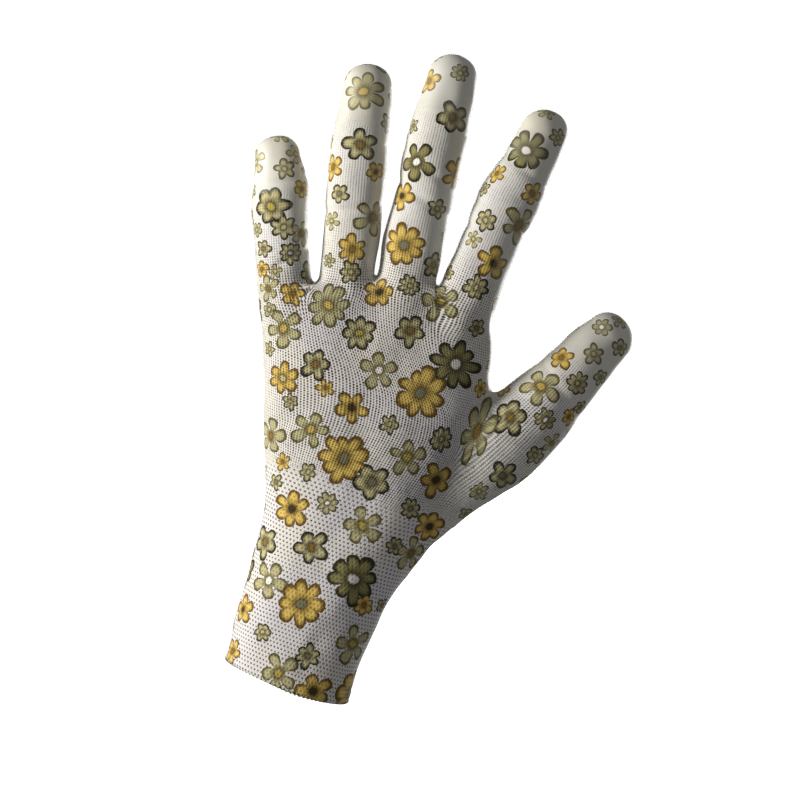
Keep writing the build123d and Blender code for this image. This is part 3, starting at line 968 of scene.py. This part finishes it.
def new_group(name, inputs, outputs):
    group = bpy.data.node_groups.new(name, "ShaderNodeTree")
    for way, sockets in (("INPUT", inputs), ("OUTPUT", outputs)):
        for label, kind in sockets.items():
            group.interface.new_socket(label, in_out=way, socket_type="NodeSocket" + kind)
    net = Net(group)
    return group, net, net.node("NodeGroupInput").outputs, net.node("NodeGroupOutput").inputs


def new_material(name):
    material = bpy.data.materials.new(name)
    material.use_nodes = True
    return material, Net(material.node_tree), material.node_tree.nodes["Principled BSDF"].inputs


PETAL_BASE = 0.12     # where a petal's oval starts, in radii
PETAL_TILT = 0.16     # how far a petal may lean, radians
VEINS = 46.0          # how close together a petal's veins run
WOBBLE = 0.24         # how uneven a flower's outline is, in radii
CORE = 0.20           # radius of the flower's middle, in radii
OUTLINE = (0.05, 0.05, 0.02, 1.0)
CORE_OUTLINE = (0.06, 0.04, 0.01, 1.0)


def daisy_group():
    """One printed daisy laid over a colour; its shape comes from its polar coordinates."""
    inputs = {"Base": "Color", "Place": "Vector", "Shape": "Vector", "Heart": "Float"}
    inputs |= {"Fill": "Color", "Edge": "Color", "Core": "Color"}
    group, net, given, out = new_group("daisy", inputs, {"Color": "Color", "Mask": "Float"})
    x, y, seed = net.split(given["Place"])
    seed = net.calculate("ROUND", seed)
    petals, edge_wide, petal_wide = net.split(given["Shape"])
    wx, wy, _ = net.split(net.noise(given["Place"], 1.6, 1.0, "Color"))
    x = net.nudge(x, wx, WOBBLE)
    y = net.nudge(y, wy, WOBBLE)
    reach = net.length(x, y)
    turn = net.times(net.times(net.arctan(y, x), petals), 1 / TURN)
    cell = net.floor(net.plus(turn, 0.5))
    long_by, wide_by, tilt = net.split(net.chance(net.modulo(cell, petals), seed, 3.7, "Color"))
    away = net.minus(turn, cell)

    # the petal as an oval: along it, across it, and 1 on its outline
    angle = net.nudge(net.over(net.times(away, TURN), petals), tilt, PETAL_TILT)
    along = net.times(reach, net.cosine(angle))
    across = net.times(reach, net.sine(angle))
    half = net.times(net.minus(net.scaled(long_by, 0.20, 0.86), PETAL_BASE), 0.5)
    flare = net.step(given["Heart"], 0.40, 0.60, 1.0, 0.15)
    wide = net.times(net.over(petal_wide, petals), net.scaled(wide_by, 0.24, 0.88))
    wide = net.times(wide, net.scaled(along, flare, net.scaled(flare, -0.66, 1.02)))
    from_middle = net.minus(along, net.plus(half, PETAL_BASE))
    inside = net.length(net.over(from_middle, half), net.over(across, wide))
    inside = net.least(inside, net.over(reach, given["Heart"]))
    mask = net.step(inside, 0.96, 1.03, 1.0, 0.0)

    # dark near the petal's rim, between two petals, round the heart and along the veins
    rim = net.step(inside, net.minus(1.0, edge_wide), 0.90)
    rim = net.times(rim, net.step(reach, 0.30, 0.75, 0.40, 1.0))
    crease = net.times(net.step(net.size(away), 0.32, 0.5), net.step(reach, 0.30, 0.75, 0.50, 0.0))
    heart = net.step(reach, CORE + 0.02, CORE + 0.34, 0.66, 0.0)
    veins = net.sine(net.times(across, VEINS))
    veins = net.scaled(veins, 0.10, net.times(net.noise(given["Place"], 4.0), 0.42))
    dark = net.most(net.most(rim, crease), heart)
    dark = net.least(net.plus(dark, net.minus(veins, 0.13)), 1.0)
    colour = net.mix(net.most(dark, 0.0), given["Fill"], given["Edge"])
    line = net.times(net.step(inside, 0.84, 0.96), net.step(reach, 0.35, 0.75, 0.05, 0.32))
    colour = net.mix(line, colour, OUTLINE)

    colour = net.mix(net.step(reach, CORE - 0.03, CORE + 0.02, 1.0, 0.0), colour, given["Core"])
    ring = net.size(net.minus(reach, CORE))
    colour = net.mix(net.step(ring, 0.01, 0.07, 0.55, 0.0), colour, CORE_OUTLINE)
    net.fill(out, {"Color": net.mix(mask, given["Base"], colour), "Mask": mask})
    return group


CUFF_WALES = 96
CUFF_COURSE = 1.5     # from one row of the cuff's knit to the next, millimetres
COURSE = 0.92


def knit_group():
    """The painted shade in the knit's holes, and how high its yarns stand, from the knit attribute."""
    inputs = {"Knit": "Vector", "Place": "Vector", "Stretch": "Float"}
    group, net, given, out = new_group("knit", inputs, {"Shade": "Float", "Height": "Float"})
    stretch = given["Stretch"]
    u, v, kind = net.split(given["Knit"])
    du, dv, _ = net.split(net.noise(given["Place"], 90.0, 2.0, "Color"))
    u = net.nudge(u, du, 0.7)
    v = net.nudge(v, dv, 1.2)

    def gap(value):
        """0 on a line of yarn and 1 half way to the next."""
        return net.scaled(net.cosine(net.times(value, TURN)), -0.5, 0.5)

    wiggle = net.times(net.sine(net.times(v, TURN / COURSE)), 0.07)
    wale, course = gap(net.plus(u, wiggle)), gap(net.over(v, COURSE))
    chance = net.chance(net.floor(u), net.floor(v), 0.5)
    palm = net.times(wale, net.scaled(course, 0.78, 0.22))
    # where the knit is pulled open its holes are wider and darker: more painted shade
    palm = net.step(palm, 0.12, net.scaled(stretch, -0.38, 0.68))
    palm = net.times(palm, net.scaled(chance, 0.45, 0.70))
    palm = net.times(palm, net.scaled(stretch, 0.10, 1.0))
    finger = net.times(wale, net.scaled(course, 0.40, 0.60))
    finger = net.times(net.step(finger, 0.25, 0.95), net.scaled(chance, 0.34, 0.30))
    row = net.over(v, CUFF_COURSE)
    stagger = net.times(net.modulo(net.floor(row), 2.0), 0.5)
    cuff = net.times(gap(net.scaled(u, CUFF_WALES / HAND_WALES, stagger)), gap(row))
    cuff = net.times(net.step(cuff, 0.36, 0.84), net.scaled(chance, 0.25, 0.78))
    fine = net.times(gap(net.times(u, 2.0 * CUFF_WALES / HAND_WALES)), 0.20)
    shade = net.between(net.step(kind, 0.0, 1.0), palm, net.plus(cuff, fine))
    shade = net.between(net.step(net.times(kind, -1.0), 0.1, 1.0), shade, finger)
    yarn = net.times(net.noise(given["Place"], 2600.0, 2.0), 0.25)
    net.fill(out, {"Shade": shade, "Height": net.minus(yarn, shade)})
    return group


# how the knit and the film look where it is cool and where it is warm, and what blurs them
COOL, WARM = (0.885, 0.87, 0.88), (0.90, 0.882, 0.86)
FILM_COOL, FILM_WARM = (0.845, 0.84, 0.815), (0.86, 0.845, 0.79)
CLOUD, MILK = (0.68, 0.66, 0.64), (0.76, 0.75, 0.69)
FILM_SOAK = 7.0       # how far past its edge the film soaks into the knit, millimetres
# the colour and strength of the painted shade in the knit's holes
HOLE_SHADE = (0.19, 0.175, 0.19)
HOLE_SHADE_DEPTH = 0.88


def glove_material(name, film, groups):
    """The printed knit, bare or under the film."""
    material, net, shader = new_material(name)
    place = net.node("ShaderNodeTexCoord").outputs["Object"]
    stitches = net.attribute("knit")
    film_depth = net.attribute("film_depth", "Fac")
    links = {"Knit": stitches, "Place": place, "Stretch": net.attribute("stretch", "Fac")}
    knit = net.node("ShaderNodeGroup", links, node_tree=groups["knit"]).outputs
    shade = knit["Shade"]
    warm = net.step(net.noise(place, 38.0, 1.0), 0.36, 0.64)
    colour = net.mix(warm, linear(FILM_COOL if film else COOL), linear(FILM_WARM if film else WARM))
    if not film:
        near = net.step(film_depth, -FILM_SOAK, 0.0)
        colour = net.mix(near, colour, linear(FILM_COOL))
        shade = net.times(shade, net.scaled(near, -0.45, 1.0))
    colour = net.mix(net.times(net.noise(place, 55.0, 3.0), 0.16), colour, linear(CLOUD))

    printed = 0.0
    for layer in "ba":
        shape = "shape_" + layer
        links = {"Base": colour, "Place": net.attribute("print_" + layer)}
        links |= {"Shape": net.attribute(shape), "Heart": net.attribute(shape, "Alpha")}
        for part in ("Fill", "Edge", "Core"):
            links[part] = net.attribute(f"{part.lower()}_{layer}", "Color")
        daisy = net.node("ShaderNodeGroup", links, node_tree=groups["daisy"]).outputs
        colour = daisy["Color"]
        printed = net.most(daisy["Mask"], printed)

    # the print fills the knit's holes a little and lightens their painted shade, and the film covers them
    ribbed = net.step(net.split(stitches)[2], 0.0, 1.0)
    shade = net.times(shade, net.minus(1.0, net.times(printed, net.scaled(ribbed, 0.36, 0.22))))
    height = knit["Height"]
    if film:
        colour = net.mix(net.scaled(net.noise(place, 240.0, 3.0), 0.16, 0.06), colour, linear(MILK))
        # under the film the holes' painted shade shows only as faint specks, most near the film's edge
        seen = net.scaled(net.step(film_depth, 0.0, 6.0), -0.62, 0.66)
        hole_shade_specks = net.most(net.step(net.noise(place, 700.0, 1.0), 0.44, 0.66), 0.35)
        shade = net.times(shade, net.plus(net.times(seen, hole_shade_specks), 0.03))
        height = net.scaled(net.noise(place, 420.0, 2.0), 0.6, net.times(shade, -0.5))
    # the colour seen in the knit's holes: the yarn's colour darkened as painted shade
    deep = net.node("ShaderNodeVectorMath", {0: colour, 1: linear(HOLE_SHADE)[:3]}, operation="MULTIPLY").outputs[0]
    links = {"Height": height, "Strength": 0.35 if film else 0.6, "Distance": 0.00012 if film else 0.00025}
    net.fill(shader, {
        "Base Color": net.mix(net.times(shade, HOLE_SHADE_DEPTH), colour, deep),
        "Normal": net.node("ShaderNodeBump", links).outputs["Normal"],
        "Roughness": net.scaled(net.noise(place, 120.0, 2.0), 0.20, 0.36 if film else 0.74),
        "Specular IOR Level": 0.40 if film else 0.25,
        "Sheen Weight": 0.0 if film else 0.15,
    })
    return material


def thread_material(name, colour):
    """Twisted yarn."""
    material, net, shader = new_material(name)
    place = net.node("ShaderNodeTexCoord").outputs["Object"]
    ply = net.node("ShaderNodeTexWave", {"Vector": place, "Scale": 900.0, "Distortion": 3.0}).outputs["Fac"]
    shaded = tuple(c * 0.7 for c in colour)
    net.fill(shader, {
        "Base Color": net.mix(net.times(ply, 0.45), linear(colour), linear(shaded)),
        "Normal": net.node("ShaderNodeBump", {"Height": ply, "Distance": 0.0001}).outputs["Normal"],
        "Roughness": net.scaled(ply, 0.1, 0.75),
    })
    return material


# Camera, light and room


def look_at(obj, target, roll=0.0):
    way = Vector(target) - obj.location
    obj.rotation_mode = "QUATERNION"
    obj.rotation_quaternion = way.to_track_quat("-Z", "Y") @ Matrix.Rotation(roll, 3, "Z").to_quaternion()


CAMERA_LEAN = math.radians(20.0)
CAMERA_RISE = math.radians(5.0)
CAMERA_AWAY = 2.2
VIEW_WIDE = 0.2931    # what the picture spans at the glove, metres
VIEW_MIDDLE = (0.0034, 0.0, 0.1120)


def make_camera():
    data = bpy.data.cameras.new("camera")
    data.sensor_width = 36.0
    data.lens = data.sensor_width * CAMERA_AWAY / VIEW_WIDE
    data.clip_end = 20.0
    camera = bpy.data.objects.new("camera", data)
    bpy.context.scene.collection.objects.link(camera)
    middle = Vector(VIEW_MIDDLE)
    camera.location = middle + CAMERA_AWAY * Vector((0, -math.cos(CAMERA_RISE), math.sin(CAMERA_RISE)))
    look_at(camera, middle, CAMERA_LEAN)
    bpy.context.scene.camera = camera


def area_light(name, way, away, size, strength, colour=(1, 1, 1)):
    """A disk of light, away metres off where way points; strength 1 lights a surface as a white room does."""
    middle = (cad_box[0] + cad_box[1]) / 2
    data = bpy.data.lights.new(name, "AREA")
    data.shape = "DISK"
    data.size = size
    data.energy = strength * (math.pi * away) ** 2
    data.color = colour
    lamp = bpy.data.objects.new(name, data)
    bpy.context.scene.collection.objects.link(lamp)
    lamp.location = middle + Vector(way).normalized() * away
    look_at(lamp, middle)


ROOM_LIGHT = 0.20     # how much of the white room's look its walls give off as light
FLOOR_DROP = 0.012


def make_room():
    """A white room whose walls look brighter than they light, and a white floor."""
    world = bpy.data.worlds.new("room")
    bpy.context.scene.world = world
    world.use_nodes = True
    net = Net(world.node_tree)
    seen = net.node("ShaderNodeLightPath").outputs["Is Camera Ray"]
    strength = net.scaled(seen, 1.0 - ROOM_LIGHT, ROOM_LIGHT)
    net.fill(world.node_tree.nodes["Background"].inputs, {"Color": (1, 1, 1, 1), "Strength": strength})
    bpy.context.scene.view_settings.view_transform = "Standard"
    bpy.ops.mesh.primitive_plane_add(size=16.0, location=(0, 0, cad_box[0].z - FLOOR_DROP))
    floor = bpy.context.object
    floor.name = "floor"
    floor.visible_diffuse = False
    floor.visible_glossy = False
    floor.visible_shadow = False
    paint, net, shader = new_material("floor")
    net.fill(shader, {"Base Color": (0.9, 0.9, 0.9, 1), "Roughness": 0.9})
    net.fill(shader, {"Emission Color": (1, 1, 1, 1), "Emission Strength": 0.9})
    floor.data.materials.append(paint)
    area_light("key", (-1.0, -0.40, -0.04), 0.80, 0.24, 1.46, (1.0, 0.97, 0.895))
    area_light("far_side", (0.52, 0.85, 0.10), 1.3, 0.5, 0.40)
    area_light("palm_side", (-0.08, 1.0, 0.06), 1.3, 0.5, 0.40)


# Meshes


def mesh_object(name, verts, faces):
    mesh = bpy.data.meshes.new(name)
    mesh.from_pydata((np.asarray(verts) * MM).tolist(), [], faces)
    obj = bpy.data.objects.new(name, mesh)
    bpy.context.scene.collection.objects.link(obj)
    mesh.polygons.foreach_set("use_smooth", [True] * len(mesh.polygons))
    return obj


def tube_mesh(name, lines, radius, sides=8):
    """Closed rings of yarn, each along a closed line of points."""
    verts, faces = [], []
    for line in lines:
        ahead = np.roll(line, -1, 0) - np.roll(line, 1, 0)
        ahead /= np.linalg.norm(ahead, axis=1)[:, None]
        across = np.cross(ahead, [0.0, 0.0, 1.0])
        across /= np.maximum(np.linalg.norm(across, axis=1), 1e-9)[:, None]
        up = np.cross(across, ahead)
        first = len(verts)
        for p, a, b in zip(line, across, up):
            for k in range(sides):
                turn = TURN * k / sides
                verts.append(p + radius * (a * math.cos(turn) + b * math.sin(turn)))
        count = len(line)
        for i in range(count):
            for k in range(sides):
                a, b = first + i * sides, first + (i + 1) % count * sides
                n = (k + 1) % sides
                faces.append((a + k, a + n, b + n, b + k))
    return mesh_object(name, verts, faces)


ATTRIBUTE_KINDS = {1: ("FLOAT", "value"), 3: ("FLOAT_VECTOR", "vector"), 4: ("FLOAT_COLOR", "color")}


def add_attributes(mesh, domain, table):
    """Gives the mesh what its corners or faces carry: numbers, places, or colours of four values."""
    for name, values in table.items():
        size = values.shape[1] if values.ndim == 2 else 1
        kind, field = ATTRIBUTE_KINDS[size]
        attribute = mesh.attributes.new(name, kind, domain)
        attribute.data.foreach_set(field, values.astype(np.float32).ravel())


class Skin:
    """The glove's outer surface, with what every face and corner of it carries."""

    def __init__(self, bm):
        self.verts = positions(bm)
        bm.verts.index_update()
        self.faces = [tuple(v.index for v in f.verts) for f in bm.faces]
        bm.free()
        self.normals = glove_normal(self.verts)
        self.starts = np.concatenate([[0], np.cumsum([len(f) for f in self.faces])])
        self.loop_vert = np.array([v for f in self.faces for v in f])
        self.loop_face = np.repeat(np.arange(len(self.faces)), np.diff(self.starts))
        sizes = np.diff(self.starts)[:, None]
        self.centres = np.add.reduceat(self.verts[self.loop_vert], self.starts[:-1], axis=0) / sizes
        facing = np.add.reduceat(self.normals[self.loop_vert], self.starts[:-1], axis=0)
        self.face_normals = facing / np.linalg.norm(facing, axis=1)[:, None]
        self.film = film_value(self.verts)
        self.filmed = np.add.reduceat(self.film[self.loop_vert], self.starts[:-1]) > 0
        daisies = place_daisies(self.verts, self.normals)
        shape = self.verts, self.loop_vert, self.loop_face, self.centres
        self.corner, self.flat = print_layers(daisies, *shape, self.face_normals)
        self.corner["knit"] = knit_corners(*shape)
        self.corner["film_depth"] = self.film[self.loop_vert]
        self.corner["stretch"] = knit_stretch(self.verts)[self.loop_vert]
        print("surface", len(self.verts), "vertices", len(self.faces), "faces", len(daisies), "daisies")

    def shell(self, name, chosen, top, bottom):
        """A closed shell between two offsets of the surface over the chosen faces."""
        faces = [self.faces[f] for f in chosen]
        used = sorted({v for f in faces for v in f})
        index = {v: k for k, v in enumerate(used)}
        count = len(used)
        outer, inner, rims = [], [], []
        rows_outer, rows_inner, rows_rim, rim_owners = [], [], [], []
        edges = {}
        for f, face in zip(chosen, faces):
            new = [index[v] for v in face]
            rows = [self.starts[f] + k for k in range(len(face))]
            outer.append(tuple(new))
            rows_outer += rows
            inner.append(tuple(v + count for v in reversed(new)))
            rows_inner += rows[::-1]
            for a, b, row, after in zip(new, new[1:] + new[:1], rows, rows[1:] + rows[:1]):
                edges[a, b] = f, row, after
        for (a, b), (f, row, after) in edges.items():
            if (b, a) not in edges:
                rims.append((b, a, a + count, b + count))
                rows_rim += [after, row, row, after]
                rim_owners.append(f)
        pos, nor = self.verts[used], self.normals[used]
        sides = [pos + nor * offset[used][:, None] for offset in (top, bottom)]
        obj = mesh_object(name, np.concatenate(sides), outer + inner + rims)
        rows = np.array(rows_outer + rows_inner + rows_rim)
        corners = {k: v[rows] for k, v in self.corner.items()}
        for layer in "ab":
            corners["print_" + layer][len(rows_outer):2 * len(rows_outer), 0] = NO_PRINT
        add_attributes(obj.data, "CORNER", corners)
        owners = np.array(chosen + chosen + rim_owners)
        add_attributes(obj.data, "FACE", {k: v[owners] for k, v in self.flat.items()})
        custom = np.concatenate([nor, -nor])[[v for f in outer + inner + rims for v in f]]
        for poly in obj.data.polygons[2 * len(faces):]:
            custom[poly.loop_start:poly.loop_start + poly.loop_total] = poly.normal
        obj.data.normals_split_custom_set(custom.tolist())
        return obj


def cuff_ring(height, inset, count):
    """Points round the cuff, this far inside its outer surface."""
    angle = np.linspace(0, TURN, count, endpoint=False)
    left, right, deep = hand_left(height), hand_right(height), hand_depth(height)
    x = (left + right) / 2 + ((right - left) / 2 - inset) * np.cos(angle)
    return angle, np.stack([x, (deep - inset) * np.sin(angle), 0 * angle + height], 1)


ELASTIC_ROWS = 8
ELASTIC_PITCH = 2.6
FIRST_ELASTIC = 8.0
OVERLOCK_LOOPS = 84
OVERLOCK_WIDE, OVERLOCK_HIGH = 1.0, 0.95
OVERLOCK_THREAD, ELASTIC_THREAD = 0.2, 0.26   # their radii


def make_elastic():
    """Covered elastic yarn laid round the inside of the cuff."""
    rings = []
    for row in range(ELASTIC_ROWS):
        angle, ring = cuff_ring(FIRST_ELASTIC + ELASTIC_PITCH * row, KNIT_WALL + 0.12, 300)
        ring[:, 2] += 0.12 * np.sin(angle * 48 + row)
        rings.append(ring)
    return tube_mesh("cuff_elastic_yarn", rings, ELASTIC_THREAD)


def make_overlock():
    """The thread that binds the cuff's edge: a coil wrapped over the rim of the hem."""
    count = OVERLOCK_LOOPS * 12
    angle, ring = cuff_ring(0.9, 0.75, count)
    turn = angle * OVERLOCK_LOOPS
    normal = np.stack([np.cos(angle), np.sin(angle), 0 * angle], 1)
    line = ring + normal * (OVERLOCK_WIDE * np.cos(turn))[:, None]
    line[:, 2] += OVERLOCK_HIGH * np.sin(turn) + mouth_edge(line)
    return tube_mesh("cuff_overlock_thread", [line], OVERLOCK_THREAD, 6)


make_camera()
make_room()
skin = Skin(cut_mesh(*glove_mesh()))
piece_names, labels = piece_of(skin.centres)
groups = {"knit": knit_group(), "daisy": daisy_group()}
materials = {layer: glove_material("printed_" + layer, layer == "film", groups) for layer in ("knit", "film")}

# each layer's outer and inner offset from the surface, and the faces that it covers
level = np.zeros(len(skin.verts))
LAYERS = {
    "knit": (level, level - KNIT_WALL, labels >= 0),
    "film": (FILM_WALL * smoothstep(-0.1, 1.6, skin.film) + 0.01, level - FILM_SINK, skin.filmed),
}
pieces = {}
for k, name in enumerate(piece_names):
    for layer, (top, bottom, covered) in LAYERS.items():
        chosen = np.nonzero((labels == k) & covered)[0].tolist()
        if chosen:
            pieces[name, layer] = skin.shell(f"{name}_{layer}", chosen, top, bottom)

REPLACED = {
    ("hem", "knit"): ["cuff_hem"],
    ("rib", "knit"): ["cuff_rib"],
    ("hand", "knit"): ["wrist_fold", "cuff_top", "hand_liner"],
    ("hand", "film"): ["palm_coating"],
}


def settle(piece, name, layer):
    """Gives a piece its finish, the cuff's pieces their body, and hides the CAD nodes that it stands for."""
    piece.data.materials.append(materials[layer])
    if name in ("hem", "rib"):
        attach(piece, "cuff")
    elif name == "hand":
        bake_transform(piece)
    else:
        stall_name, part = name.split("_")
        stall = stalls[stall_name]
        k = PARTS[stall_name].index(part)
        start = max(stall.stations[k] - stall.folds[k], stall.cuts[k])
        end = stall.stations[k] + stall.folds[k]
        start, end = (Vector(stall.base + stall.out * t) * MM for t in (start, end))
        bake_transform(piece)
        own = [f"{name}_coating"] if layer == "film" else [f"{stall_name}_{FOLDS[stall_name][k]}", name]
        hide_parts(*own)
    if (name, layer) in REPLACED:
        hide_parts(*REPLACED[name, layer])


for (name, layer), piece in pieces.items():
    settle(piece, name, layer)

# the cuff's two threads: piece, material, colour, slot, node
THREADS = [
    (make_elastic(), "elastic_yarn", (0.86, 0.85, 0.83), "elastic", "cuff_elastic"),
    (make_overlock(), "overlock_thread", (0.70, 0.68, 0.60), "overlock_thread", "cuff_overlock"),
]
for thread, material_name, colour, slot, node in THREADS:
    thread.data.materials.append(thread_material(material_name, colour))
    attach(thread, "cuff")
    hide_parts(node)
